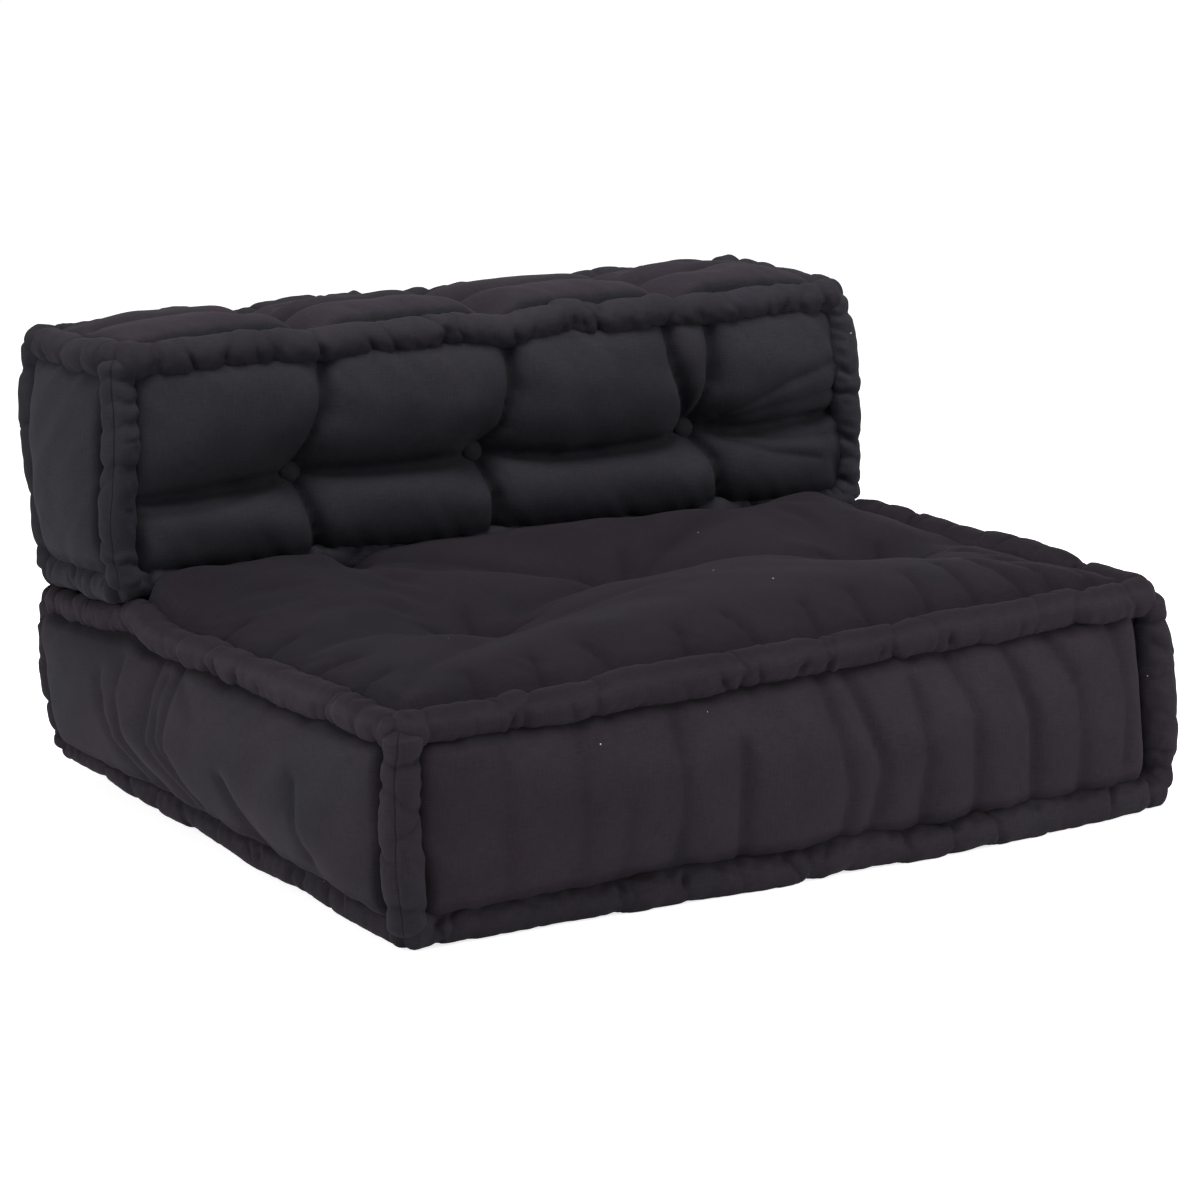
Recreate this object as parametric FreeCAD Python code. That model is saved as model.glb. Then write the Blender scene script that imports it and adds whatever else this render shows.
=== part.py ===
import FreeCAD, Part
import math
import os

# A floor sofa of two loose mattress cushions: a seat, and a back that stands on its rear.
# Each cushion is a filling in a cover of six panels, with a stuffed roll sewn along every edge,
# and twine pulled right through the filling between covered buttons.
# Frame: +X to the right of someone facing the sofa, front at -Y, +Z up,
# origin on the floor under the middle of the seat. Sizes in millimetres.

Vector = FreeCAD.Vector

# Overall sizes over the edge rolls
SEAT_WIDTH = 1000.0
SEAT_DEPTH = 860.0
SEAT_HEIGHT = 250.0
BACK_WIDTH = 1000.0
BACK_DEPTH = 250.0
BACK_HEIGHT = 295.0
BACK_SETBACK = 4.0  # from the seat's rearmost line to the back's

# Edge rolls: gathered lumps of uneven length between cinched necks
ROLL_RADIUS = 20.0
ROLL_CINCH = 2.5  # how far a neck is drawn in
LUMP_LENGTH = 46.0
LUMP_UNEVENNESS = 0.35
LUMP_STEP = 2.4  # radians from one lump to the next in the unevenness wave

# Cover and filling
COVER_THICKNESS = 1.5
COVER_GAP = 0.5  # between the filling and the inside of the cover
PAD_LAP = 10.0  # how far the filling behind a border runs into the main filling
SEAM_GAP = 0.3  # between a sewn edge and the roll it is sewn to
RESTING_GAP = 0.3  # between the back and the seat that carries it

# Crowns, measured outwards from the plane of the seams
SEAM_RISE = 2.0
SEAT_CROWN = 18.0
SEAT_SIDE_BULGE = 18.0
BACK_CROWN = 19.0
BACK_END_BULGE = 18.0
BACK_TOP_CROWN = 19.0
BACK_TOP_CHANNEL = 5.0
BACK_FOOT_BULGE = 14.0
BULGE_RAMP = 80.0  # length over which a border swells from its end seam
FLOOR_BEVEL = 60.0  # width of the slope from the bottom seam down to the floor
EASE_STEPS = 4  # stations of a soft swing from one form to the next

# Tufts: counts, depth below the seams, and the flat seat under each button
SEAT_TUFT_COLUMNS = 3
SEAT_TUFT_ROWS = 3
SEAT_TUFT_STAGGER = True  # only every second place is tied, as on a chessboard
SEAT_TUFT_DEPTH = 24.0
BACK_TUFT_COLUMNS = 3
BACK_TUFT_ROWS = 1
BACK_TUFT_STAGGER = False
BACK_TUFT_DEPTH = 18.0
TUFT_FOLD_RISE = 4.0  # height of the folds between tufts over the seams
TUFT_ROW_CREST = 10.0  # height of the puffs in line with the tufts over the seams
TUFT_FLAT = 32.0
SEAT_COLUMN_OFFSETS = (15.0, 50.0, 95.0)  # hand-tied: each column's distance from its even place
SEAT_ROW_OFFSETS = (80.0, 0.0, -30.0)
BACK_COLUMN_OFFSETS = (-34.0, -26.0, 35.0)
BACK_ROW_OFFSETS = (-20.0,)

# Covered buttons, tufting twine and the felt washers under the seat's filling
BUTTON_RADIUS = 14.0
BUTTON_RIM = 2.0
BUTTON_DOME = 6.0
BUTTON_LIFT = 0.5  # clears the floor of the dimple
TWINE_RADIUS = 1.5
TWINE_GAP = 0.3
WASHER_RADIUS = 15.0
WASHER_THICKNESS = 3.0

UP = Vector(0, 0, 1)
ALONG = Vector(1, 0, 0)


class Cushion:
    """Sizes of one cushion lying flat: length along X, breadth along Y, thickness along Z from 0."""

    def __init__(self, length, breadth, thickness, crown):
        self.length = length
        self.breadth = breadth
        self.thickness = thickness
        self.crown = crown
        self.half_length = length / 2 - 2 * ROLL_RADIUS
        self.half_breadth = breadth / 2 - 2 * ROLL_RADIUS
        self.half_side = thickness / 2 - 2 * ROLL_RADIUS
        self.middle = thickness / 2
        self.seam = thickness - ROLL_RADIUS

    def set_tufts(self, columns, column_offsets, rows, row_offsets, stagger, depth):
        self.columns = even_places(self.half_length, columns, column_offsets)
        self.rows = even_places(self.half_breadth, rows, row_offsets)
        self.stagger = stagger
        self.tuft_depth = depth

    def tied(self, row, column):
        return not self.stagger or (row + column) % 2 == 0

    def tufts(self):
        places = []
        for row, y in enumerate(self.rows):
            places += [(x, y) for column, x in enumerate(self.columns) if self.tied(row, column)]
        return places


def even_places(half_span, count, offsets):
    """Evenly spaced places over a span, each moved by its offset where one is given."""
    pitch = 2 * half_span / (count + 1)
    moves = list(offsets[:count]) + [0.0] * (count - len(offsets))
    return [-half_span + pitch * (i + 1) + move for i, move in enumerate(moves)]


def halfway(values):
    return [(p + q) / 2 for p, q in zip(values, values[1:])]


def line(start, end):
    return Part.LineSegment(start, end).toShape()


def arc(start, end, sagitta):
    """An arc from start to end whose middle stands off the chord by the sagitta vector."""
    return Part.Arc(start, (start + end) / 2 + sagitta, end).toShape()


def loft(wires):
    return Part.makeLoft(wires, True, True)


def eased(keys):
    """Adds stations between the given ones, with every value swinging softly to the next."""
    stations = []
    for before, after in zip(keys, keys[1:]):
        steps = 1 if before[1:] == after[1:] else EASE_STEPS
        for step in range(steps):
            along = step / steps
            swing = (1 - math.cos(math.pi * along)) / 2
            place = before[0] + (after[0] - before[0]) * along
            stations.append((place,) + tuple(p + (q - p) * swing for p, q in zip(before[1:], after[1:])))
    return stations + [tuple(keys[-1])]


# Tufted faces, built as the upper face of a cushion lying flat

def tufted_chain(cushion, station, drop):
    """Edges across the length at one station: puffs as arcs, with a flat at each tuft column."""
    half = cushion.half_length - SEAM_GAP
    y, edge, crest, *dips = station
    corners = [Vector(-half, y, edge - drop)]
    for x, dip in zip(cushion.columns, dips):
        corners.append(Vector(x - TUFT_FLAT / 2, y, dip - drop))
        corners.append(Vector(x + TUFT_FLAT / 2, y, dip - drop))
    corners.append(Vector(half, y, edge - drop))
    edges = []
    for i, (start, end) in enumerate(zip(corners, corners[1:])):
        rise = crest - drop - (start.z + end.z) / 2
        edges.append(line(start, end) if i % 2 else arc(start, end, UP * rise))
    return edges, corners[0], corners[-1]


def tufted_stations(cushion):
    """(y, height at the seam, height of the puffs, height at each column) from seam to seam."""
    half = cushion.half_breadth - SEAM_GAP
    seam = cushion.seam
    fold = seam + TUFT_FOLD_RISE
    low = seam - cushion.tuft_depth
    places = range(len(cushion.columns))
    lines = [-half] + cushion.rows + [half]
    sewn_edge = (seam, seam + SEAM_RISE) + tuple(seam for column in places)
    between = (seam + SEAM_RISE, seam + cushion.crown) + tuple(fold for column in places)
    stations = [(-half,) + sewn_edge]
    for row, y in enumerate(halfway(lines)):
        stations.append((y,) + between)
        if row < len(cushion.rows):
            dips = tuple(low if cushion.tied(row, column) else fold for column in places)
            for side in (-TUFT_FLAT / 2, TUFT_FLAT / 2):
                stations.append((cushion.rows[row] + side, seam, seam + TUFT_ROW_CREST) + dips)
    stations.append((half,) + sewn_edge)
    return eased(stations)


def tufted_layer(cushion, drop, floor=None):
    """A sheet under the tufted surface, or with floor given the filling from there up to it."""
    wires = []
    for station in tufted_stations(cushion):
        outer, start, end = tufted_chain(cushion, station, drop)
        if floor is None:
            inner, low_start, low_end = tufted_chain(cushion, station, drop + COVER_THICKNESS)
            inner.reverse()
        else:
            low_start = Vector(start.x, start.y, floor)
            low_end = Vector(end.x, end.y, floor)
            inner = [line(low_end, low_start)]
        wires.append(Part.Wire(outer + [line(end, low_end)] + inner + [line(low_start, start)]))
    return loft(wires)


# Border faces, built as the near face of a cushion lying flat

def plain_border(half, bulge):
    """(place along the border, bulge there): full between two short ramps at the ends."""
    ramp = min(BULGE_RAMP, half / 2)
    return eased([(-half, SEAM_RISE), (ramp - half, bulge), (half - ramp, bulge), (half, SEAM_RISE)])


def channelled_border(half, bulge, channels, channel_bulge):
    """(place along the border, bulge there): a puff on either side of each channel."""
    puffs = halfway([-half] + channels + [half])
    stations = [(-half, SEAM_RISE)]
    for i, place in enumerate(puffs):
        stations.append((place, bulge))
        if i < len(channels):
            stations.append((channels[i], channel_bulge))
    stations.append((half, SEAM_RISE))
    return eased(stations)


def border_layer(cushion, seam_distance, stations, drop, depth):
    """A layer from drop under the bulged border down by depth, or as far as the main filling."""
    half = cushion.half_side - SEAM_GAP
    low, high = cushion.middle - half, cushion.middle + half
    wires = []
    for x, bulge in stations:
        outer_y = -seam_distance + drop
        foot, head = Vector(x, outer_y, low), Vector(x, outer_y, high)
        outer = arc(foot, head, Vector(0, -bulge, 0))
        if depth is None:
            inner_y = -seam_distance + ROLL_RADIUS + PAD_LAP
            inner_foot, inner_head = Vector(x, inner_y, low), Vector(x, inner_y, high)
            inner = line(inner_head, inner_foot)
        else:
            inner_y = outer_y + depth
            inner_foot, inner_head = Vector(x, inner_y, low), Vector(x, inner_y, high)
            inner = arc(inner_head, inner_foot, Vector(0, -bulge, 0))
        wires.append(Part.Wire([outer, line(head, inner_head), inner, line(inner_foot, foot)]))
    return loft(wires)


def turned(shape, degrees):
    shape = shape.copy()
    shape.rotate(Vector(0, 0, 0), UP, degrees)
    return shape


# Flat resting face, a shallow tray from the bottom seams down to the floor

def rectangle(half_x, half_y, z):
    corners = [Vector(sx * half_x, sy * half_y, z) for sx, sy in ((-1, -1), (1, -1), (1, 1), (-1, 1))]
    return Part.makePolygon(corners + corners[:1])


def floor_frustum(cushion):
    half_x = cushion.half_length - SEAM_GAP
    half_y = cushion.half_breadth - SEAM_GAP
    floor = rectangle(half_x - FLOOR_BEVEL, half_y - FLOOR_BEVEL, 0)
    return Part.makeLoft([floor, rectangle(half_x, half_y, ROLL_RADIUS)], True, True)


def floor_panel(cushion):
    frustum = floor_frustum(cushion)
    return frustum.cut(frustum.translated(UP * COVER_THICKNESS))


def floor_filling(cushion):
    lift = COVER_THICKNESS + COVER_GAP
    half_x = cushion.half_length - SEAM_GAP
    half_y = cushion.half_breadth - SEAM_GAP
    base = ROLL_RADIUS + lift
    corner = Vector(-half_x, -half_y, base)
    wall = Part.makeBox(2 * half_x, 2 * half_y, cushion.middle - base, corner)
    return floor_frustum(cushion).translated(UP * lift).fuse(wall)


# Edge rolls

def lump_ends(length):
    """Places of the necks along a roll, from 0 to its length."""
    count = max(2, round(length / LUMP_LENGTH))
    shares = [1 + LUMP_UNEVENNESS * math.sin(LUMP_STEP * i) for i in range(count)]
    ends = [0.0]
    for share in shares:
        ends.append(ends[-1] + length * share / sum(shares))
    return ends


def roll(start, end):
    """A stuffed roll from start to end: lumps turned about the line between them."""
    length = (end - start).Length
    ends = lump_ends(length)
    belly = Vector(0, ROLL_CINCH, 0)
    necks = [Vector(x, ROLL_RADIUS - ROLL_CINCH, 0) for x in ends]
    profile = [line(Vector(0, 0, 0), necks[0])]
    profile += [arc(p, q, belly) for p, q in zip(necks, necks[1:])]
    profile += [line(necks[-1], Vector(length, 0, 0)), line(Vector(length, 0, 0), Vector(0, 0, 0))]
    solid = Part.Face(Part.Wire(profile)).revolve(Vector(0, 0, 0), ALONG, 360)
    solid = Part.Solid(solid) if solid.ShapeType == "Shell" else solid
    solid.Placement = FreeCAD.Placement(start, FreeCAD.Rotation(ALONG, end - start))
    return solid


def edge_rolls(cushion):
    """Rolls on the twelve edges, by the two faces that each one joins."""
    x = cushion.length / 2 - ROLL_RADIUS
    y = cushion.breadth / 2 - ROLL_RADIUS
    levels = {"lower": ROLL_RADIUS, "upper": cushion.thickness - ROLL_RADIUS}
    reach = cushion.length / 2
    inside = cushion.half_breadth - SEAM_GAP
    low, high = 2 * ROLL_RADIUS + SEAM_GAP, cushion.thickness - 2 * ROLL_RADIUS - SEAM_GAP
    rolls = {}
    for level, z in levels.items():
        for side, place in (("near", -y), ("far", y)):
            rolls[level, side] = roll(Vector(-reach, place, z), Vector(reach, place, z))
        for side, place in (("left", -x), ("right", x)):
            rolls[level, side] = roll(Vector(place, -inside, z), Vector(place, inside, z))
    for depth_side, place_y in (("near", -y), ("far", y)):
        for side, place_x in (("left", -x), ("right", x)):
            rolls[depth_side, side] = roll(Vector(place_x, place_y, low), Vector(place_x, place_y, high))
    return rolls


# Tufting

def cylinder(x, y, low, high, radius):
    return Part.makeCylinder(radius, high - low, Vector(x, y, low))


def button(x, y, z):
    """A covered button with its flat back at height z, dome upwards."""
    sphere_radius = (BUTTON_RADIUS ** 2 + BUTTON_DOME ** 2) / (2 * BUTTON_DOME)
    half_angle = math.asin(BUTTON_RADIUS / sphere_radius) / 2
    centre = Vector(0, 0, 0)
    rim = Vector(BUTTON_RADIUS, 0, 0)
    shoulder = Vector(BUTTON_RADIUS, 0, BUTTON_RIM)
    crown = Vector(0, 0, BUTTON_RIM + BUTTON_DOME)
    flank = crown + Vector(math.sin(half_angle), 0, math.cos(half_angle) - 1) * sphere_radius
    dome = Part.Arc(shoulder, flank, crown).toShape()
    outline = [line(centre, rim), line(rim, shoulder), dome, line(crown, centre)]
    solid = Part.Face(Part.Wire(outline)).revolve(centre, UP, 360)
    return solid.translated(Vector(x, y, z))


def upper_button_back(cushion):
    return cushion.seam - cushion.tuft_depth + BUTTON_LIFT


def twine_bores(cushion):
    return [cylinder(x, y, 0, cushion.thickness, TWINE_RADIUS + TWINE_GAP) for x, y in cushion.tufts()]


def pierced(shape, bores):
    return shape.cut(Part.Compound(bores))


def upside_down(cushion, shape):
    return shape.mirror(Vector(0, 0, cushion.middle), UP)


def filling_of(cushion, pads):
    whole = pads[0].multiFuse(pads[1:]).removeSplitter()
    return pierced(whole, twine_bores(cushion))


# The two cushions

def border_seams(cushion):
    """Turn and seam distance of the four border faces."""
    near = cushion.breadth / 2 - ROLL_RADIUS
    side = cushion.length / 2 - ROLL_RADIUS
    return {"near": (0, near), "right": (90, side), "far": (180, near), "left": (270, side)}


def border_faces(cushion, stations):
    """Cover panel and filling pad of each border face."""
    panels, pads = {}, []
    lining = COVER_THICKNESS + COVER_GAP
    for side, (turn, distance) in border_seams(cushion).items():
        panel = border_layer(cushion, distance, stations[side], 0.0, COVER_THICKNESS)
        pad = border_layer(cushion, distance, stations[side], lining, None)
        panels[side] = turned(panel, turn)
        pads.append(turned(pad, turn))
    return panels, pads


def seat_pieces():
    cushion = Cushion(SEAT_WIDTH, SEAT_DEPTH, SEAT_HEIGHT, SEAT_CROWN)
    cushion.set_tufts(
        SEAT_TUFT_COLUMNS, SEAT_COLUMN_OFFSETS, SEAT_TUFT_ROWS, SEAT_ROW_OFFSETS,
        SEAT_TUFT_STAGGER, SEAT_TUFT_DEPTH,
    )
    names = {"near": "front", "far": "rear", "left": "left", "right": "right", "upper": "top", "lower": "bottom"}
    long_side = plain_border(cushion.half_length - SEAM_GAP, SEAT_SIDE_BULGE)
    short_side = plain_border(cushion.half_breadth - SEAM_GAP, SEAT_SIDE_BULGE)
    stations = {"near": long_side, "far": long_side, "left": short_side, "right": short_side}
    panels, pads = border_faces(cushion, stations)
    bores = twine_bores(cushion)
    panels["upper"] = pierced(tufted_layer(cushion, 0.0), bores)
    panels["lower"] = floor_panel(cushion)
    lining = COVER_THICKNESS + COVER_GAP
    pads += [tufted_layer(cushion, lining, cushion.middle), floor_filling(cushion)]

    washer_foot = COVER_THICKNESS + COVER_GAP
    washer_head = washer_foot + WASHER_THICKNESS
    pockets = [
        cylinder(x, y, 0, washer_head + COVER_GAP, WASHER_RADIUS + COVER_GAP) for x, y in cushion.tufts()
    ]
    washers = [cylinder(x, y, washer_foot, washer_head, WASHER_RADIUS) for x, y in cushion.tufts()]
    back_of_button = upper_button_back(cushion)
    twine_head = back_of_button - SEAM_GAP
    pieces = {
        "seat_filling": pierced(filling_of(cushion, pads), pockets),
        "seat_buttons": Part.Compound([button(x, y, back_of_button) for x, y in cushion.tufts()]),
        "seat_tuft_twines": Part.Compound(
            [cylinder(x, y, washer_foot, twine_head, TWINE_RADIUS) for x, y in cushion.tufts()]
        ),
        "seat_tuft_washers": Part.Compound([pierced(w, bores) for w in washers]),
    }
    pieces.update(named_pieces("seat", names, panels, edge_rolls(cushion)))
    return pieces


def back_pieces():
    cushion = Cushion(BACK_WIDTH, BACK_HEIGHT, BACK_DEPTH, BACK_CROWN)
    cushion.set_tufts(
        BACK_TUFT_COLUMNS, BACK_COLUMN_OFFSETS, BACK_TUFT_ROWS, BACK_ROW_OFFSETS,
        BACK_TUFT_STAGGER, BACK_TUFT_DEPTH,
    )
    names = {"near": "bottom", "far": "top", "left": "left", "right": "right", "upper": "front", "lower": "rear"}
    half = cushion.half_length - SEAM_GAP
    # the top is turned half round, so its channels are given the other way along
    channels = [-x for x in reversed(cushion.columns)]
    ends = plain_border(cushion.half_breadth - SEAM_GAP, BACK_END_BULGE)
    stations = {
        "near": plain_border(half, BACK_FOOT_BULGE),
        "far": channelled_border(half, BACK_TOP_CROWN, channels, BACK_TOP_CHANNEL),
        "left": ends,
        "right": ends,
    }
    panels, pads = border_faces(cushion, stations)
    bores = twine_bores(cushion)
    front = pierced(tufted_layer(cushion, 0.0), bores)
    panels["upper"] = front
    panels["lower"] = upside_down(cushion, front)
    half_filling = tufted_layer(cushion, COVER_THICKNESS + COVER_GAP, cushion.middle)
    pads += [half_filling, upside_down(cushion, half_filling)]

    back_of_button = upper_button_back(cushion)
    buttons = Part.Compound([button(x, y, back_of_button) for x, y in cushion.tufts()])
    head = back_of_button - SEAM_GAP
    pieces = {
        "back_filling": filling_of(cushion, pads),
        "back_front_buttons": buttons,
        "back_rear_buttons": upside_down(cushion, buttons),
        "back_tuft_twines": Part.Compound(
            [cylinder(x, y, cushion.thickness - head, head, TWINE_RADIUS) for x, y in cushion.tufts()]
        ),
    }
    pieces.update(named_pieces("back", names, panels, edge_rolls(cushion)))
    stand = standing_placement()
    for shape in pieces.values():
        shape.Placement = stand.multiply(shape.Placement)
    return pieces


def standing_placement():
    """Stands the back on edge at the seat's rear, tufted face forwards."""
    centre_y = SEAT_DEPTH / 2 - BACK_SETBACK - BACK_DEPTH / 2
    centre_z = SEAT_HEIGHT + RESTING_GAP + BACK_HEIGHT / 2
    on_edge = FreeCAD.Rotation(ALONG, 90)
    middle = on_edge.multVec(Vector(0, 0, BACK_DEPTH / 2))
    return FreeCAD.Placement(Vector(0, centre_y, centre_z) - middle, on_edge)


def named_pieces(cushion_name, names, panels, rolls):
    pieces = {}
    for face, shape in panels.items():
        pieces[f"{cushion_name}_{names[face]}_panel"] = shape
    for (one, other), shape in rolls.items():
        pieces[f"{cushion_name}_{names[one]}_{names[other]}_roll"] = shape
    return pieces


def main():
    os.makedirs("parts", exist_ok=True)
    pieces = {**seat_pieces(), **back_pieces()}
    for name, shape in sorted(pieces.items()):
        if not shape.isValid():
            print("not valid:", name)
        shape.exportStep(os.path.join("parts", name + ".step"))
    print(len(pieces), "pieces")


main()
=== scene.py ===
import math

import bmesh
import bpy
import numpy as np
from mathutils import Matrix, Vector


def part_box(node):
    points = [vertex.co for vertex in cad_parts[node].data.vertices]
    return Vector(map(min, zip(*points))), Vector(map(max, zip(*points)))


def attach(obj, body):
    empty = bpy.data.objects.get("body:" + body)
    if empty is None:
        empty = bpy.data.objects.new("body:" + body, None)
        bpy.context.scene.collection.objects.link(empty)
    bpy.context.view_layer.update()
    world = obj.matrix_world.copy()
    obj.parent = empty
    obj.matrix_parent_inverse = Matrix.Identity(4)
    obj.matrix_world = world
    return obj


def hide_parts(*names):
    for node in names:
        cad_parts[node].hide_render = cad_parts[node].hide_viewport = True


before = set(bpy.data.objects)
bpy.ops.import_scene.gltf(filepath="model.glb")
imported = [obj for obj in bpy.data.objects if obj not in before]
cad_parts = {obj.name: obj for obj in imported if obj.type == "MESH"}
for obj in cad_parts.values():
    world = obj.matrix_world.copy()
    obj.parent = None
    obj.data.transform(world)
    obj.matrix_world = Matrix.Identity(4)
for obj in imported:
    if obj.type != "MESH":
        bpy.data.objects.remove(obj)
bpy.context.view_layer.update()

MM = 0.001
TINY = 0.01 * MM

# A seat cushion and a loose back cushion, each a stuffed cotton cover with gathered rolls on its edges.
# Everything is laid out straight first, as in the CAD model, and settle() then gives it its lived-in slump.

ROLL_RADIUS = 20 * MM
SEAM_INSET = 24 * MM  # from the outside of the rolls in to the seam where two panels of a cover meet
PANELS = ("top", "bottom", "front", "rear", "left", "right")
# each panel's axis, and whether it is at the high end of it
LEFT, RIGHT = (0, False), (0, True)
FRONT, REAR = (1, False), (1, True)
BOTTOM, TOP = (2, False), (2, True)


def span(prefix):
    """The low and high corners of all the CAD pieces whose names start with the prefix."""
    boxes = [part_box(n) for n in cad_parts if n.startswith(prefix)]
    low = np.min([np.array(b[0]) for b in boxes], axis=0)
    high = np.max([np.array(b[1]) for b in boxes], axis=0)
    return low, high


SEAT = span("seat_")
BACK = span("back_")
BACK_FRONT, BACK_FOOT, BACK_TOP = BACK[0][1], BACK[0][2], BACK[1][2]


# Curves and folds

def smoothstep(edge0, edge1, x):
    t = np.clip((x - edge0) / (edge1 - edge0), 0, 1)
    return t * t * (3 - 2 * t)


def waves(rng, x, length, parts=5):
    """Smooth noise along x, about -1 to 1, with features around the given length."""
    total = np.zeros_like(x)
    for _ in range(parts):
        k = 2 * math.pi / length * rng.uniform(0.5, 1.6)
        total += rng.uniform(0.5, 1) * np.sin(k * x + rng.uniform(0, 2 * math.pi))
    return total / math.sqrt(parts)


def waves_2d(rng, x, y, length, parts=9):
    """The same over a surface."""
    total = np.zeros_like(x)
    for _ in range(parts):
        k = 2 * math.pi / length * rng.uniform(0.5, 1.6)
        turn = rng.uniform(0, math.pi)
        total += np.sin(k * (x * math.cos(turn) + y * math.sin(turn)) + rng.uniform(0, 2 * math.pi))
    return total / math.sqrt(parts)


def fall(x, half, power):
    """1 in the middle, falling to 0 at half either way, more steeply with a higher power."""
    return np.clip(1 - np.abs(x / half) ** power, 0, 1)


def dome(u, v, half_u, half_v, power_u, power_v):
    """1 over the middle of a panel, falling to 0 at its seams."""
    return np.sqrt(fall(u, half_u, power_u) * fall(v, half_v, power_v))


def fold_distance(u, v, folds):
    """Distance from each (u, v) to the nearest of some polylines given in millimetres."""
    best = np.full(u.shape, 1e9)
    for points in folds:
        points = np.array(points) * MM
        for (u0, v0), (u1, v1) in zip(points, points[1:]):
            du, dv = u1 - u0, v1 - v0
            t = np.clip(((u - u0) * du + (v - v0) * dv) / (du * du + dv * dv), 0, 1)
            best = np.minimum(best, np.hypot(u - u0 - t * du, v - v0 - t * dv))
    return best


def soft_fold(u, v, folds, width):
    """1 along the folds, falling softly to 0 over the width."""
    return np.exp(-((fold_distance(u, v, folds) / width) ** 2))


def sharp_fold(u, v, folds, width):
    """1 along the folds, with full cloth right up to a sharp crease."""
    return np.exp(-fold_distance(u, v, folds) / width)


def tuft_distance(u, v, tufts):
    return np.min([np.hypot(u - a * MM, v - b * MM) for a, b in tufts], axis=0)


def pit(u, v, tufts, width, power=1.4):
    """1 at the tufts, falling to 0 around them."""
    return np.exp(-((tuft_distance(u, v, tufts) / width) ** power))


def tied(u, v, tufts, radius):
    """1 under the buttons, where the twines hold the cloth, and 0 elsewhere."""
    return np.where(tuft_distance(u, v, tufts) < radius, 1.0, 0.0)


# Tufts and the folds that run from them, in millimetres on the face of each cushion

SEAT_TUFTS = [(-215, -115), (325, -115), (50, 0), (-215, 165), (325, 165)]
SEAT_OPEN_TUFTS = SEAT_TUFTS[:3]  # the last two are at the foot of the back
SEAT_ROWS = [
    [(-215, -115), (50, 0), (325, -115)],
    [(-215, 165), (50, 0), (325, 165)],
]
SEAT_VALLEYS = SEAT_ROWS + [
    [(-215, -115), (-205, 30), (-215, 165)],
    [(325, -115), (330, 30), (325, 165)],
    [(-470, -140), (-215, -115)],
    [(-230, -400), (-215, -115)],
    [(325, -115), (470, -100)],
    [(325, -115), (340, -400)],
]
SEAT_PLEATS = [
    [(200, -395), (215, -330)], [(262, -395), (270, -310)], [(330, -395), (318, -300)],
    [(372, -395), (352, -290)], [(420, -392), (380, -280)], [(452, -380), (400, -250)],
    [(465, -330), (405, -215)], [(468, -280), (395, -180)], [(120, -395), (128, -345)],
    [(52, -395), (60, -352)], [(-30, -395), (-40, -350)], [(-118, -395), (-108, -360)],
    [(-210, -395), (-218, -350)], [(-300, -395), (-290, -362)], [(-380, -395), (-372, -365)],
    [(-465, -300), (-430, -292)], [(-465, -200), (-425, -210)], [(-465, -90), (-430, -84)],
    [(-465, 20), (-428, 30)],
]
PULL_REACHES = (72, 54, 80, 60, 68)
PULL_TURN = 1.25  # angle from one pull to the next around a tuft
PULL_START = 0.9  # turns the pulls of each tuft differently
SEAT_PULLS = []
for tuft_x, tuft_y in SEAT_OPEN_TUFTS:
    for count, reach in enumerate(PULL_REACHES):
        turn = PULL_START * tuft_x + PULL_TURN * count
        tip = (tuft_x + reach * math.cos(turn), tuft_y + reach * math.sin(turn))
        SEAT_PULLS.append([(tuft_x, tuft_y), tip])
SEAT_FRONT_FOLDS = [
    [(52, 222), (84, 108), (66, 34)], [(137, 196), (141, 104), (134, 34)],
    [(188, 222), (208, 150), (207, 34)], [(261, 222), (286, 130), (286, 34)],
    [(323, 222), (351, 152), (353, 40)], [(19, 222), (40, 86), (30, 34)],
    [(-171, 205), (-173, 50)], [(-93, 160), (-94, 35)], [(410, 222), (420, 120), (415, 60)],
]
SEAT_FRONT_FAINT = [[(-289, 205), (-291, 60)], [(-238, 120), (-239, 35)], [(-380, 200), (-376, 60)]]
SEAT_LEFT_FOLDS = [
    [(95, 216), (101, 117), (31, 50)], [(45, 220), (52, 116), (8, 50)],
    [(172, 200), (164, 104), (105, 45)], [(212, 170), (191, 93), (154, 45)],
    [(-87, 110), (-108, 55), (-134, 32)], [(-250, 150), (-265, 60)], [(70, 200), (76, 120), (20, 70)],
]
BACK_TUFTS = [(-264, 377.8), (-26, 377.8), (265, 377.8)]
BACK_GROOVE = [
    (-475, 366), (-388, 368), (-300, 375), (-264, 378), (-156, 374), (-50, 374), (-26, 378),
    (87, 364), (228, 368), (265, 378), (344, 372), (432, 378), (477, 384),
]
BACK_FOLDS = [
    [(-264, 378), (-252, 413), (-238, 450), (-233, 520)],
    [(-26, 378), (0, 409), (11, 454), (12, 520)],
    [(265, 378), (250, 418), (236, 462), (230, 520)],
    [(265, 378), (287, 438), (292, 520)],
    [(-264, 378), (-252, 331), (-240, 278)],
    [(-26, 378), (-13, 327), (-12, 276)],
    [(265, 378), (288, 341), (298, 278)],
]
BACK_WRINKLES = [
    [(290, 382), (380, 400), (470, 412)],
    [(290, 376), (370, 362), (470, 356)],
    [(300, 370), (360, 345), (430, 330)],
    [(300, 392), (390, 432), (470, 450)],
    [(-290, 372), (-380, 352), (-470, 350)],
]
BACK_TOP_VALLEYS = [
    [(-234, 165), (-240, 300), (-252, 450)],
    [(12, 165), (-2, 300), (-30, 450)],
    [(262, 165), (240, 300), (208, 450)],
]
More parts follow.
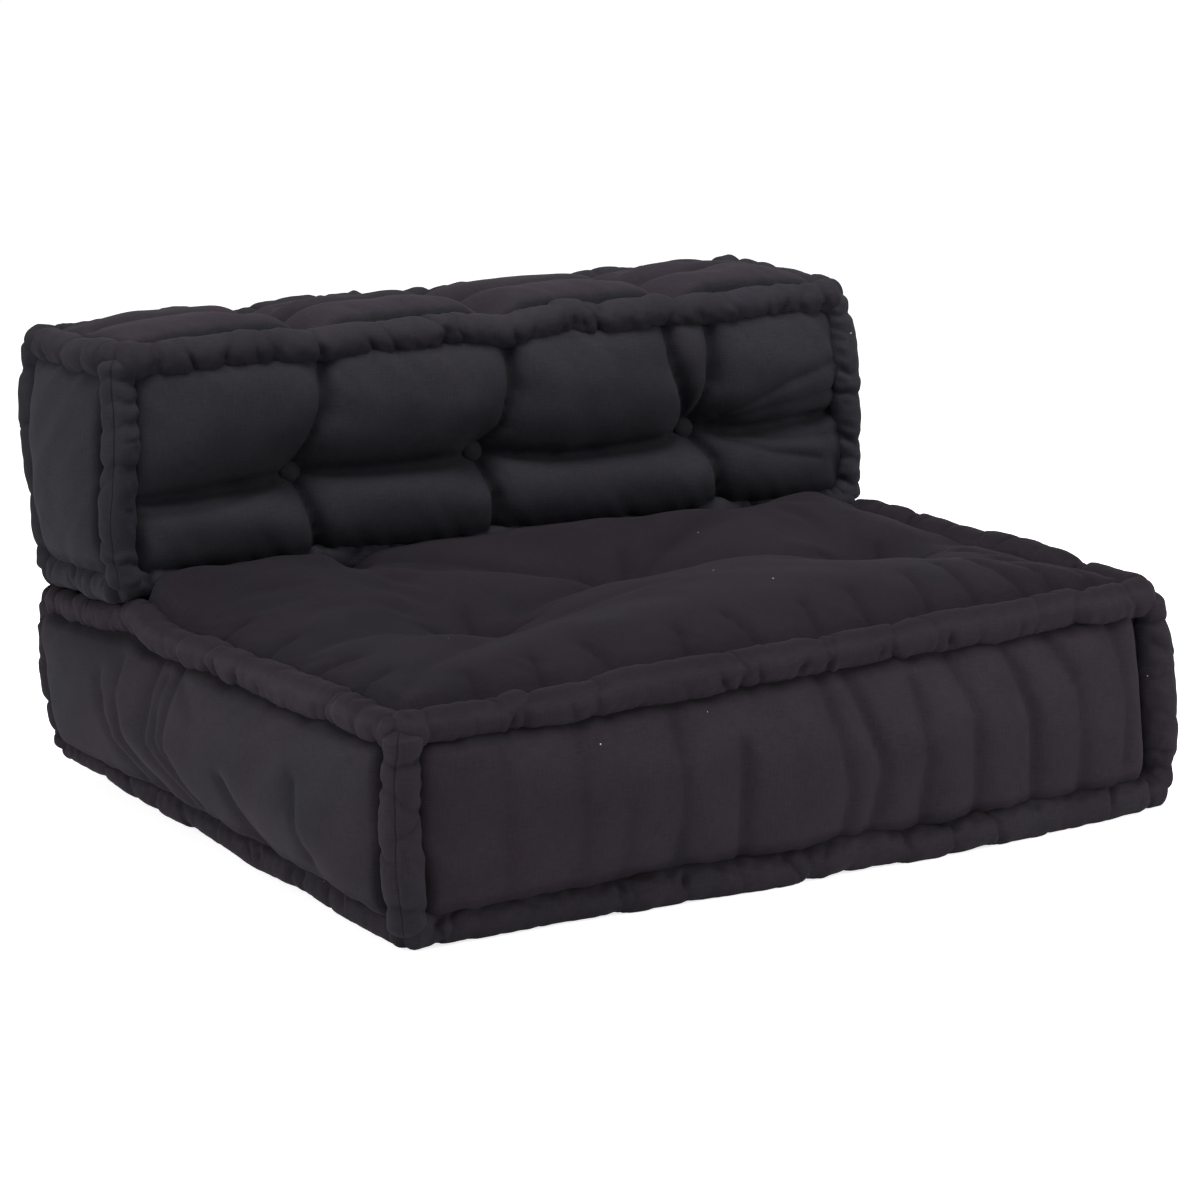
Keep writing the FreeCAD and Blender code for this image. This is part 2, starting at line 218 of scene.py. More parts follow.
BACK_TOP_FOLDS = [
    [(-450, 318), (-400, 286), (-345, 300), (-300, 272), (-262, 290)],
    [(-222, 312), (-160, 280), (-95, 296), (-30, 272)],
    [(18, 322), (75, 284), (140, 300), (190, 270), (228, 282)],
    [(262, 310), (320, 278), (385, 298), (450, 280)],
    [(-190, 350), (-120, 338), (-60, 352)],
    [(300, 352), (360, 336), (430, 346)],
]
# fine creases on each panel: the folds, their width and their depth, in millimetres
SEAT_CREASES = {
    TOP: [(SEAT_ROWS, 12, 4), (SEAT_PLEATS, 8, 5), (SEAT_PULLS, 8, 5)],
    FRONT: [(SEAT_FRONT_FOLDS, 9, 4), (SEAT_FRONT_FAINT, 16, 3)],
    REAR: [(SEAT_FRONT_FOLDS, 8, 2)],
    LEFT: [(SEAT_LEFT_FOLDS, 8, 4)],
    RIGHT: [(SEAT_LEFT_FOLDS, 7, 2)],
}
BACK_CREASES = {
    FRONT: [([BACK_GROOVE], 5, 6), (BACK_FOLDS, 5, 6), (BACK_WRINKLES, 7, 4)],
    REAR: [([BACK_GROOVE], 5, 6), (BACK_FOLDS, 5, 5)],
    TOP: [(BACK_TOP_VALLEYS, 8, 4), (BACK_TOP_FOLDS, 9, 5)],
}


# Settling: how far each corner of the straight cushions has moved in use, in millimetres.
# Keys are (right, rear, top).

SEAT_CORNERS = {
    (0, 0, 0): (2, 0, 0), (1, 0, 0): (10, 0, 0), (0, 1, 0): (26, 0, 28), (1, 1, 0): (0, 0, 0),
    (0, 0, 1): (1, 0, -4), (1, 0, 1): (-10, 2, 13), (0, 1, 1): (3, 0, -8), (1, 1, 1): (0, 0, 24),
}
BACK_CORNERS = {
    (0, 0, 0): (-12, 3, 5), (1, 0, 0): (10, -2, -10), (0, 1, 0): (10, 0, -14), (1, 1, 0): (0, 0, -10),
    (0, 0, 1): (1, 0, 0), (1, 0, 1): (-8, 0, -15), (0, 1, 1): (-2, 0, -3), (1, 1, 1): (-4, 0, -8),
}
BOW_RIGHT, BOW_ELSEWHERE = 10 * MM, 6 * MM
TOP_DIP_WIDTH = 26 * MM
TOP_DIP_FRONT, TOP_DIP_MORE_AT_REAR = 3 * MM, 8 * MM
FRONT_SAG = 27 * MM
FRONT_SAG_SKEW = 1.6


def corner_blend(co, box, corners):
    """The corners' moves, blended over the box."""
    t = (co - box[0]) / (box[1] - box[0])
    move = np.zeros_like(co)
    for key, offset in corners.items():
        weight = np.ones(len(co))
        for axis in range(3):
            weight *= t[:, axis] if key[axis] else 1 - t[:, axis]
        move += weight[:, None] * np.array(offset) * MM
    return move


def barrel(co, box):
    """The upright edges of a stuffed cushion bow outwards."""
    mid, half = (box[0] + box[1]) / 2, (box[1] - box[0]) / 2
    t = (co - mid) / half
    belly = np.cos(np.clip(t[:, 2], -1, 1) * math.pi / 2)
    out = np.sign(t) * np.abs(t) ** 3
    move = np.zeros_like(co)
    move[:, 0] = np.where(t[:, 0] > 0, BOW_RIGHT, BOW_ELSEWHERE) * out[:, 0] * belly
    move[:, 1] = BOW_ELSEWHERE * out[:, 1] * belly
    return move


def settle_back(co):
    move = corner_blend(co, BACK, BACK_CORNERS) + barrel(co, BACK)
    # the rolls along the top dip where its valleys meet them
    dip = soft_fold(co[:, 0], co[:, 1], BACK_TOP_VALLEYS, TOP_DIP_WIDTH)
    deep = TOP_DIP_FRONT + TOP_DIP_MORE_AT_REAR * smoothstep(BACK_FRONT, BACK[1][1], co[:, 1])
    move[:, 2] -= deep * dip * smoothstep(BACK_TOP - 80 * MM, BACK_TOP - 15 * MM, co[:, 2])
    return co + move


def settle_seat(co):
    move = corner_blend(co, SEAT, SEAT_CORNERS) + barrel(co, SEAT)
    # the foot of the front sags forwards, most of all right of its middle
    t = (co - SEAT[0]) / (SEAT[1] - SEAT[0])
    middle = np.sin(np.clip(t[:, 0], 0, 1) ** FRONT_SAG_SKEW * math.pi)
    move[:, 1] -= FRONT_SAG * middle * np.clip(1 - t[:, 2], 0, 1) ** 2 * np.clip(1 - 2 * t[:, 1], 0, 1)
    # under the back, the seat's top follows the back's own underside
    foot = co.copy()
    foot[:, 2] = BACK_FOOT
    under = corner_blend(foot, BACK, BACK_CORNERS)[:, 2]
    share = smoothstep(BACK_FRONT - 50 * MM, BACK_FRONT + 5 * MM, co[:, 1]) * np.clip(t[:, 2], 0, 1)
    move[:, 2] = move[:, 2] * (1 - share) + under * share
    return co + move


# Meshes

def add_object(name, data):
    obj = bpy.data.objects.new(name, data)
    bpy.context.scene.collection.objects.link(obj)
    return obj


def mesh_object(name, bm, smooth=True):
    """Makes an object of a bmesh, and frees the bmesh."""
    mesh = bpy.data.meshes.new(name)
    bm.to_mesh(mesh)
    bm.free()
    mesh.polygons.foreach_set("use_smooth", [smooth] * len(mesh.polygons))
    return add_object(name, mesh)


def get_vectors(mesh, name):
    vectors = np.empty(len(mesh.vertices) * 3)
    mesh.vertices.foreach_get(name, vectors)
    return vectors.reshape(-1, 3)


def get_points(obj):
    return get_vectors(obj.data, "co")


def get_normals(obj):
    return get_vectors(obj.data, "normal")


def set_points(obj, co):
    obj.data.vertices.foreach_set("co", np.ascontiguousarray(co).ravel())
    obj.data.update()


def add_values(obj, name, values):
    layer = obj.data.attributes.new(name, "FLOAT", "POINT")
    layer.data.foreach_set("value", np.ascontiguousarray(values, dtype=np.float32))


def quad_box(counts):
    """A closed unit box of quads, with a count of them along each axis."""
    bm = bmesh.new()
    bmesh.ops.create_cube(bm, size=1)
    for axis, count in enumerate(counts):
        along = [e for e in bm.edges if abs(e.verts[0].co[axis] - e.verts[1].co[axis]) > 0.5]
        bmesh.ops.subdivide_edges(bm, edges=along, cuts=count - 1)
    return bm


# Covers

class Cover:
    """The cover of one cushion: its seam box, its panels' forms, and which points the stitching holds."""

    def __init__(self, name, box, step):
        self.low = box[0] + SEAM_INSET
        self.high = box[1] - SEAM_INSET
        self.half = (self.high - self.low) / 2
        self.mid = (self.high + self.low) / 2
        size = self.high - self.low
        self.obj = mesh_object(name, quad_box([round(s / step) for s in size]))
        self.straight = self.mid + get_points(self.obj) * size
        at_ends = (self.straight < self.low + TINY) | (self.straight > self.high - TINY)
        self.hold = np.where(at_ends.sum(axis=1) >= 2, 1.0, 0.0)
        self.points = self.straight.copy()

    def panel(self, straight, side):
        """The points inside one panel, with their places along its two other axes."""
        axis, at_high = side
        plane = (self.high if at_high else self.low)[axis]
        inside = np.abs(straight[:, axis] - plane) < TINY
        first, second = [i for i in range(3) if i != axis]
        for other in (first, second):
            inside &= straight[:, other] > self.low[other] + TINY
            inside &= straight[:, other] < self.high[other] - TINY
        picked = np.nonzero(inside)[0]
        return picked, straight[picked, first], straight[picked, second]

    def shape(self, side, form, hold=None):
        """Raises one panel off its seam plane by form(u, v)."""
        axis, at_high = side
        picked, u, v = self.panel(self.straight, side)
        self.points[picked, axis] += (1 if at_high else -1) * form(u, v)
        if hold is not None:
            self.hold[picked] = np.maximum(self.hold[picked], hold(u, v))

    def seam_distance(self, straight):
        """Distance in from the nearest seam along each panel."""
        edge = np.minimum(straight - self.low, self.high - straight)
        return np.sort(edge, axis=1)[:, 1]


SEAT_STEP, BACK_STEP = 10 * MM, 6.5 * MM
SEAT_LEVEL, SEAT_FRONT_LIFT = 25 * MM, 6 * MM
SEAT_CROWN = 10 * MM
SEAT_RIGHT_DROP = 20 * MM
SEAT_VALLEY_DEPTH, SEAT_VALLEY_WIDTH = 12 * MM, 40 * MM
SEAT_RIDGE, SEAT_RIDGE_LEFT, SEAT_RIDGE_RIGHT = 19 * MM, 9 * MM, -7 * MM
SEAT_RIDGE_PLACE, SEAT_RIDGE_WIDTH = 0.17, 0.05
SEAT_TUFT_DEPTH = 19 * MM
SEAT_UNEVEN = 2.5 * MM
SEAT_FLOOR_GAP = 1.5 * MM
BORDER_FLUSH, BORDER_FLUSH_TOP = 19 * MM, 4 * MM
BORDER_FOLD_WIDTH = 15 * MM
FRONT_GAPS = (7 * MM, 21 * MM, 7 * MM)
NO_GAPS = (0, 0, 0)
BACK_BOLSTER = 36 * MM
BACK_GROOVE_DEPTH, BACK_GROOVE_WIDTH = 6 * MM, 12 * MM
BACK_FOLD_DEPTH, BACK_FOLD_WIDTH = 22 * MM, 14 * MM
BACK_TUFT_DEPTH = 13 * MM
BACK_TOP_FLUSH, BACK_TOP_PUFF = 12 * MM, 31 * MM
BACK_VALLEY_DEPTH, BACK_VALLEY_WIDTH = 26 * MM, 30 * MM
BACK_TOP_FOLD_DEPTH, BACK_TOP_FOLD_WIDTH = 12 * MM, 16 * MM
BACK_END_PUFF = 38 * MM
BACK_FOOT_PUFF = 19 * MM


def seat_cover():
    cover = Cover("seat_cover", SEAT, SEAT_STEP)
    half, mid = cover.half, cover.mid
    rng = np.random.default_rng(seed=11)

    def over(u, v, power):
        return dome(u, v, half[0], half[1], power, power)

    def top(u, v):
        # level with the rolls along the seams, and gently crowned
        level = SEAT_LEVEL + SEAT_FRONT_LIFT * smoothstep(-0.2, -0.38, v)
        puff = level * over(u, v, 80) + SEAT_CROWN * over(u, v, 4)
        puff -= SEAT_RIGHT_DROP * smoothstep(half[0] - 75 * MM, half[0] - 12 * MM, u) * over(u, v, 14)
        valley = soft_fold(u, v, SEAT_VALLEYS, SEAT_VALLEY_WIDTH) * over(u, v, 4)
        puff -= SEAT_VALLEY_DEPTH * valley * smoothstep(0.15, 0.06, v)
        # a ridge of stuffing pushed up along the foot of the back
        ridge = SEAT_RIDGE + SEAT_RIDGE_LEFT * smoothstep(-0.36, -0.44, u)
        ridge += SEAT_RIDGE_RIGHT * smoothstep(0.2, 0.4, u)
        puff += ridge * np.exp(-(((v - SEAT_RIDGE_PLACE) / SEAT_RIDGE_WIDTH) ** 2)) * over(u, v, 40)
        open_pits = pit(u, v, SEAT_OPEN_TUFTS, 42 * MM, 1.1)
        shut_pits = pit(u, v, SEAT_TUFTS[len(SEAT_OPEN_TUFTS):], 9 * MM, 1.0)
        puff -= (puff + SEAT_TUFT_DEPTH) * np.maximum(open_pits, shut_pits)
        return puff + SEAT_UNEVEN * waves_2d(rng, u, v, 0.22) * over(u, v, 14)

    def border(folds, axis, bulge, depth, gaps=NO_GAPS):
        """A side panel that stops short of its seams by gaps at its left, right and foot."""
        left_gap, right_gap, foot_gap = gaps

        def form(u, v):
            along, height = u - mid[axis], v - mid[2]
            gap = np.where(along > 0, right_gap, left_gap)
            along = along * half[axis] / (half[axis] - gap)
            height = np.where(height < 0, height * half[2] / (half[2] - foot_gap), height)
            # fullest a little under the middle, where the stuffing has sunk to
            lean = height + 0.2 * half[2] * fall(height, half[2], 2)
            flush = BORDER_FLUSH + BORDER_FLUSH_TOP * smoothstep(0, half[2], height)
            rise = flush * dome(along, height, half[axis], half[2], 80, 30)
            rise += bulge * dome(along, lean, half[axis], half[2], 14, 3)
            fold = sharp_fold(u, v, folds, BORDER_FOLD_WIDTH)
            return rise - depth * fold * dome(along, height, half[axis], half[2], 10, 4)
        return form

    def floor(u, v):
        return (SEAM_INSET - SEAT_FLOOR_GAP) * np.sqrt(over(u, v, 24))

    cover.shape(TOP, top, lambda u, v: tied(u, v, SEAT_TUFTS, 13 * MM))
    cover.shape(FRONT, border(SEAT_FRONT_FOLDS, 0, 7 * MM, 8 * MM, FRONT_GAPS))
    cover.shape(REAR, border(SEAT_FRONT_FOLDS, 0, 12 * MM, 9 * MM))
    cover.shape(LEFT, border(SEAT_LEFT_FOLDS, 1, 14 * MM, 9 * MM))
    cover.shape(RIGHT, border(SEAT_LEFT_FOLDS, 1, 12 * MM, 8 * MM))
    cover.shape(BOTTOM, floor, lambda u, v: np.ones_like(u))
    return cover


def back_cover():
    cover = Cover("back_cover", BACK, BACK_STEP)
    half, mid = cover.half, cover.mid
    groove_x, groove_z = np.array(BACK_GROOVE).T * MM

    def tufted(u, v):
        # an upper and a lower bolster, with a stitched groove between them
        line = np.interp(u, groove_x, groove_z)
        upper, lower = (v - line) / (cover.high[2] - line), (line - v) / (line - cover.low[2])
        t = np.where(v > line, upper, lower)
        bolster = np.sqrt(fall(2 * t - 1, 1, 2.2))
        ends = np.sqrt(fall(u, half[0], 12))
        groove = BACK_GROOVE_DEPTH * np.exp(-np.abs(v - line) / BACK_GROOVE_WIDTH)
        puff = ends * (BACK_BOLSTER * bolster - groove)
        puff -= BACK_FOLD_DEPTH * sharp_fold(u, v, BACK_FOLDS, BACK_FOLD_WIDTH) * bolster * ends
        puff *= 1 - pit(u, v, BACK_TUFTS, 27 * MM)
        return puff - BACK_TUFT_DEPTH * pit(u, v, BACK_TUFTS, 20 * MM)

    def tufted_hold(u, v):
        stitched = soft_fold(u, v, [BACK_GROOVE], 4 * MM) * 0.9
        gathered = soft_fold(u, v, BACK_FOLDS, 4 * MM) * 0.75
        return np.maximum.reduce([tied(u, v, BACK_TUFTS, 12 * MM), stitched, gathered])

    def top(u, v):
        across = (v - mid[1]) / half[1]
        puff = BACK_TOP_FLUSH * dome(u, across, half[0], 1, 80, 24)
        puff += BACK_TOP_PUFF * dome(u, across + 0.35 * (1 - across ** 2), half[0], 1, 10, 3)
        valley = soft_fold(u, v, BACK_TOP_VALLEYS, BACK_VALLEY_WIDTH)
        puff -= BACK_VALLEY_DEPTH * valley * dome(u, v - mid[1], half[0], half[1], 8, 4)
        return puff - BACK_TOP_FOLD_DEPTH * sharp_fold(u, v, BACK_TOP_FOLDS, BACK_TOP_FOLD_WIDTH)

    def end(u, v):
        return BACK_END_PUFF * dome(u - mid[1], v - mid[2], half[1], half[2], 4, 3)

    def foot(u, v):
        return BACK_FOOT_PUFF * dome(u, v - mid[1], half[0], half[1], 14, 6)

    cover.shape(FRONT, tufted, tufted_hold)
    cover.shape(REAR, tufted, tufted_hold)
    cover.shape(TOP, top, lambda u, v: 0.7 * soft_fold(u, v, BACK_TOP_VALLEYS, 6 * MM))
    cover.shape(BOTTOM, foot, lambda u, v: 0.6 * np.ones_like(u))
    cover.shape(LEFT, end)
    cover.shape(RIGHT, end)
    return cover


SPARE_CLOTH = 0.03
STUFFING_FRAMES = 22
FARTHEST_MOVE = 24 * MM
COTTON_CLOTH = {
    "quality": 6, "mass": 0.25, "air_damping": 4, "pin_stiffness": 3,
    "tension_stiffness": 20, "compression_stiffness": 20, "shear_stiffness": 8, "bending_stiffness": 1.2,
    "use_pressure": True, "uniform_pressure_force": 3.5,
}


def stuff(cover):
    """Fills the cover: a cloth run with pressure, held where it is stitched, with spare cloth to wrinkle."""
    obj = cover.obj
    set_points(obj, cover.points)
    obj.shape_key_add(name="Basis")
    rest = obj.shape_key_add(name="cut")
    centre = cover.points.mean(axis=0)
    cut = centre + (cover.points - centre) * (1 + SPARE_CLOTH)
    rest.data.foreach_set("co", cut.ravel())
    group = obj.vertex_groups.new(name="stitched")
    for weight in np.unique(np.round(cover.hold, 2)):
        if weight > 0:
            members = np.nonzero(np.abs(cover.hold - weight) < 0.005)[0]
            group.add(members.tolist(), float(weight), "REPLACE")
    cloth = obj.modifiers.new("stuffing", "CLOTH")
    for name, value in COTTON_CLOTH.items():
        setattr(cloth.settings, name, value)
    cloth.settings.vertex_group_mass = "stitched"
    cloth.settings.rest_shape_key = rest
    cloth.settings.effector_weights.gravity = 0
    cloth.collision_settings.use_collision = False
    cloth.point_cache.frame_start = 1
    cloth.point_cache.frame_end = STUFFING_FRAMES
    scene = bpy.context.scene
    for number in range(1, STUFFING_FRAMES + 1):
        scene.frame_set(number)
    done = obj.evaluated_get(bpy.context.evaluated_depsgraph_get()).to_mesh()
    move = get_vectors(done, "co") - cover.points
    scene.frame_set(1)
    obj.modifiers.clear()
    obj.shape_key_clear()
    obj.vertex_groups.clear()
    far = np.linalg.norm(move, axis=1)
    move *= (np.minimum(far, FARTHEST_MOVE) / np.maximum(far, 1e-9))[:, None]
    set_points(obj, cover.points + move)


def subdivide(obj):
    modifier = obj.modifiers.new("finer", "SUBSURF")
    modifier.levels = modifier.render_levels = 1
    mesh = bpy.data.meshes.new_from_object(obj.evaluated_get(bpy.context.evaluated_depsgraph_get()))
    old = obj.data
    obj.modifiers.clear()
    obj.data = mesh
    bpy.data.meshes.remove(old)
    mesh.name = obj.name


def subdivide_cover(cover):
    """Makes the cover's mesh finer, and returns each of its points' places on the straight cushion."""
    layer = cover.obj.data.attributes.new("straight", "FLOAT_VECTOR", "POINT")
    layer.data.foreach_set("vector", np.ascontiguousarray(cover.straight, dtype=np.float32).ravel())
    subdivide(cover.obj)
    mesh = cover.obj.data
    places = np.empty(len(mesh.vertices) * 3, dtype=np.float32)
    mesh.attributes["straight"].data.foreach_get("vector", places)
    mesh.attributes.remove(mesh.attributes["straight"])
    return places.reshape(-1, 3).astype(float)


def panel_uv(obj, straight):
    """Lays each panel's cloth flat along its own two axes, in metres."""
    corners = np.empty(len(obj.data.loops), dtype=np.int32)
    obj.data.loops.foreach_get("vertex_index", corners)
    quads = straight[corners].reshape(-1, 4, 3)
    axis = np.argmin(np.ptp(quads, axis=1), axis=1)
    first, second = np.array([1, 0, 0])[axis], np.array([2, 2, 1])[axis]
    rows = np.arange(len(quads))[:, None]
    ring = np.arange(4)[None, :]
    uv = np.stack([quads[rows, ring, first[:, None]], quads[rows, ring, second[:, None]]], axis=-1)
    layer = obj.data.uv_layers.new(name="cloth")
    layer.data.foreach_set("uv", np.ascontiguousarray(uv, dtype=np.float32).ravel())


# painted shade for the creases and for the seams of upright panels
CREASE_SHADE, CREASE_FULL_SHADE = 0.32, 6 * MM
SEAM_SHADE = 0.66
SEAM_SHADE_START, SEAM_SHADE_END = 6 * MM, 20 * MM
SEAM_SHADE_FOOT = 8 * MM  # how much wider the shade is towards the foot
GATHER_DEPTH, GATHER_LENGTH, GATHER_REACH = 2 * MM, 45 * MM, 20 * MM
LUMP_DEPTH, LUMP_LENGTH = 0.8 * MM, 90 * MM


def creased(depth):
    """Painted shade for cloth pulled into a crease, darker the deeper the crease."""
    return 1 - CREASE_SHADE * np.clip(depth / CREASE_FULL_SHADE, 0, 1)


def sculpt(cover, straight, creases, seed):
    """Adds what is too fine for the cloth run: pulled creases, gathers along the seams, slight unevenness.
    Returns painted shade for the creases and along the seams of upright panels.
    """
    rng = np.random.default_rng(seed)
    obj = cover.obj
    co, normals = get_points(obj), get_normals(obj)
    depth = np.zeros(len(co))
    from_seam = cover.seam_distance(straight)
    for side, lines in creases.items():
        picked, u, v = cover.panel(straight, side)
        fade = smoothstep(0, 12 * MM, from_seam[picked])
        for folds, width, deep in lines:
            depth[picked] += deep * MM * sharp_fold(u, v, folds, width * MM) * fade
    # painted shade in the creases, darker where the cloth is pulled in further
    shade = creased(depth)
    # painted shade along the seams of upright panels, reaching wider towards the foot
    upright = 1 - np.abs(normals[:, 2])
    low = SEAM_SHADE_FOOT * smoothstep(cover.mid[2], cover.low[2] + 30 * MM, straight[:, 2])
    clear = smoothstep(SEAM_SHADE_START, SEAM_SHADE_END, from_seam - low)
    shade *= 1 - SEAM_SHADE * upright * (1 - clear)
    along = straight @ np.array([1.0, 0.83, 0.71])
    gather = GATHER_DEPTH * waves(rng, along, GATHER_LENGTH)
    depth += gather * np.exp(-from_seam / GATHER_REACH) * smoothstep(0, 8 * MM, from_seam)
    x, y, z = straight.T
    depth += LUMP_DEPTH * waves_2d(rng, x + 0.4 * z, y + z, LUMP_LENGTH)
    set_points(obj, co - normals * depth[:, None])
    return shade


# Edge rolls

ROLL_SIDES = 48
RING_STEP = 2.2 * MM
STITCHES = 1.1  # angle of a roll's two rows of stitches from its outermost line
SHORT_STITCH, LONG_STITCH = (0.014, 0.03), (0.035, 0.07)
CREASES_LEFT_OUT = 0.55
ROLL_CAP = 13 * MM
LEAST_RADIUS = 8 * MM
ROLL_FLOOR_GAP = 0.5 * MM
# along each axis: how far a roll runs past its corners, and how far in its ears are stitched off
OVERRUNS = (10 * MM, 8 * MM, 6 * MM)
EARS = (36 * MM, 16 * MM, 30 * MM)
# the cloth of the rolls is laid out well away from that of the panels, with its crest along the middle
UPRIGHT_CLOTH, LEVEL_CLOTH = 10, 20


def stitch_row(rng, length, ears):
    """Uneven places of one row of stitches along a roll, the first and the last at its ears."""
    row = [ears]
    while row[-1] < length - ears - 30 * MM:
        row.append(row[-1] + rng.choice([rng.uniform(*SHORT_STITCH), rng.uniform(*LONG_STITCH)]))
    return [p for p in row if p < length - ears - 12 * MM] + [length - ears]


def gathers(rng, along, turn, length, ears, upright):
    """How far the cloth of a roll is pulled in, its distance from a crease, and the creases' places.

    Two rows of stitches pull the roll in from its sides, and slanting creases join some of them over the top.
    """
    least, more, power = (0.7, 2.8, 2) if upright else (0.8, 6, 2.5)
    deepest = 2.0 if upright else 2.8
    sunk = np.zeros_like(along)
    rows = []
    for side in (-STITCHES, STITCHES):
        row = stitch_row(rng, length, ears)
        for place in row:
            near = np.exp(-(((turn - side) / rng.uniform(0.35, 0.95)) ** 2))
            away = np.abs(along - place - rng.uniform(-14, 14) * MM * (turn - side))
            pull = least + more * rng.uniform() ** power
            sunk += pull * MM * near * np.exp(-away / (rng.uniform(3.0, 7.0) * MM))
        rows.append(row)
    nearest = np.full(along.shape, 1.0)
    places = []
    for place in rows[0]:
        other = min(rows[1], key=lambda p: abs(p - place))
        at_ear = place in (rows[0][0], rows[0][-1])
        if not at_ear and rng.uniform() < CREASES_LEFT_OUT:
            continue
        deep = rng.uniform(1.4, 3.0) if at_ear else rng.uniform(0.6, deepest)
        middle, slant = (place + other) / 2, (other - place) / 2
        line = middle + slant * np.sin(np.clip(turn / STITCHES, -1, 1) * math.pi / 2)
        bend = rng.uniform(-9, 9) * MM * np.cos(turn) + 2 * MM * np.sin(5 * turn + place * 90)
        away = np.abs(along - line - bend)
        sunk += deep * MM * np.exp(-away / (rng.uniform(2.2, 5.0) * MM))
        nearest = np.minimum(nearest, away)
        places.append(middle)
    return sunk, nearest, np.sort(places)


def tube(name, rings):
    """A closed tube made of a strip, with its cloth laid out from 0 to 1 along it and around it."""
    bm = bmesh.new()
    bm.loops.layers.uv.new("cloth")
    bmesh.ops.create_grid(bm, x_segments=rings - 1, y_segments=ROLL_SIDES, size=1, calc_uvs=True)
    strip = list(bm.verts)
    bmesh.ops.weld_verts(bm, targetmap=dict(zip(strip[-rings:], strip[:rings])))
    bmesh.ops.holes_fill(bm, edges=[e for e in bm.edges if e.is_boundary])
    # a strip wound this way has its face inside
    bmesh.ops.reverse_faces(bm, faces=bm.faces)
    return mesh_object(name, bm)


def roll_mesh(name, line, seed, overrun, ears, upright):
    """A gathered roll: soft lumps between pulled stitches, on a line that wanders a little."""
    rng = np.random.default_rng(seed)
    start, end, outward = line
    axis = (end - start) / np.linalg.norm(end - start)
    start, end = start - axis * overrun, end + axis * overrun
    length = np.linalg.norm(end - start)
    outward = outward / np.linalg.norm(outward)
    across = np.cross(axis, outward)
    rings = int(length / RING_STEP)
    places = np.linspace(0, length, rings)
    turns = np.linspace(-math.pi, math.pi, ROLL_SIDES, endpoint=False)
    turn, along = np.meshgrid(turns, places, indexing="ij")

    radius = ROLL_RADIUS * (1.0 + 0.03 * waves(rng, along + 0.02 * np.sin(turn), 0.07))
    radius *= 1 + 0.05 * np.cos(2 * turn + waves(rng, along, 0.3))
    sunk, nearest, creases = gathers(rng, along, turn, length, ears, upright)
    radius += 1.8 * MM * (1 - np.exp(-nearest / (14 * MM))) - sunk
    # small puckers, deeper towards the stitches
    pucker = waves_2d(rng, along, 0.02 * turn, 0.022, 14)
    radius += (0.25 + 0.4 * np.exp(-(((np.abs(turn) - 1.5) / 0.6) ** 2))) * MM * pucker
    if upright:
        # the stitched line along the crest
        radius -= 1.6 * MM * np.exp(-(((turn - 0.06 * waves(rng, along, 0.1)) / 0.17) ** 2))

    # each lump is stuffed a little differently from the next
    steps = np.ravel(np.column_stack([creases - 4 * MM, creases + 4 * MM]))

    def per_lump(low, high):
        values = rng.uniform(low, high, len(creases) + 1)
        return np.interp(places, steps, np.ravel(np.column_stack([values[:-1], values[1:]])))

    radius *= per_lump(0.95, 1.06)
    cap = np.clip(np.minimum(along, length - along) / ROLL_CAP, 0, 1)
    radius = np.maximum(radius, LEAST_RADIUS) * np.sqrt(np.clip(1 - (1 - cap) ** 2, 0.0004, 1))
    sway_out = 1.6 * MM * waves(rng, places, 0.26) + per_lump(-1.3, 1.3) * MM
    sway_side = 2.2 * MM * waves(rng, places, 0.22) + per_lump(-1.6, 1.6) * MM
    centre = start + np.outer(places, axis) + np.outer(sway_out, outward) + np.outer(sway_side, across)
    ring = np.cos(turn)[..., None] * outward + np.sin(turn)[..., None] * across
    co = (centre + radius[..., None] * ring).reshape(-1, 3)
    co[:, 2] = np.maximum(co[:, 2], ROLL_FLOOR_GAP)

    obj = tube(name, rings)
    set_points(obj, co)
    cloth = obj.data.uv_layers["cloth"]
    uv = np.empty(len(obj.data.loops) * 2, dtype=np.float32)
    cloth.data.foreach_get("uv", uv)
    girth = 2 * math.pi * ROLL_RADIUS
    uv = uv.reshape(-1, 2) * (length, girth) + (0, UPRIGHT_CLOTH if upright else LEVEL_CLOTH)
    cloth.data.foreach_set("uv", uv.astype(np.float32).ravel())
    # the second value returned is painted shade in the roll's gathers and creases
    return obj, creased(sunk.ravel())


def edge_lines(box):
    """Axis lines of a cushion's twelve rolls, by the two faces that each one joins, with its outward side."""
    low, high = box[0] + ROLL_RADIUS, box[1] - ROLL_RADIUS
    sides = {"left": LEFT, "right": RIGHT, "front": FRONT, "rear": REAR, "bottom": BOTTOM, "top": TOP}
    lines = {}
    for one, (axis_a, end_a) in sides.items():
        for other, (axis_b, end_b) in sides.items():
            if axis_a == axis_b:
                continue
            run = 3 - axis_a - axis_b
            start, end, outward = low.copy(), low.copy(), np.zeros(3)
            for axis, at_high in ((axis_a, end_a), (axis_b, end_b)):
                start[axis] = end[axis] = (high if at_high else low)[axis]
                outward[axis] = 1 if at_high else -1
            end[run] = high[run]
            lines[one, other] = ((start, end, outward), run)
    return lines


# Materials

COOL_BLACK, WARM_BLACK = (0.0268, 0.0264, 0.0318), (0.0318, 0.0247, 0.0326)
COTTON_ROUGHNESS, COTTON_SPECULAR = 0.92, 0.06
COTTON_SHEEN, COTTON_SHEEN_ROUGHNESS = 0.01, 0.4
FIBRE_ROUGHNESS, FIBRE_SPECULAR = 1.0, 0.1
WEAVE_BUMP, WEAVE_BUMP_HEIGHT = 0.3, 0.8 * MM
THREAD_LONG, THREAD_FINE = 60, 900  # per metre along a thread and across it
LINE_WANDER, LINE_HALF_WIDTH = 8 * MM, 1.1 * MM
LINT_SPACING, LINT_SIZE = 13.0, 0.013
LINT_COLOUR = (0.5, 0.5, 0.5, 1)


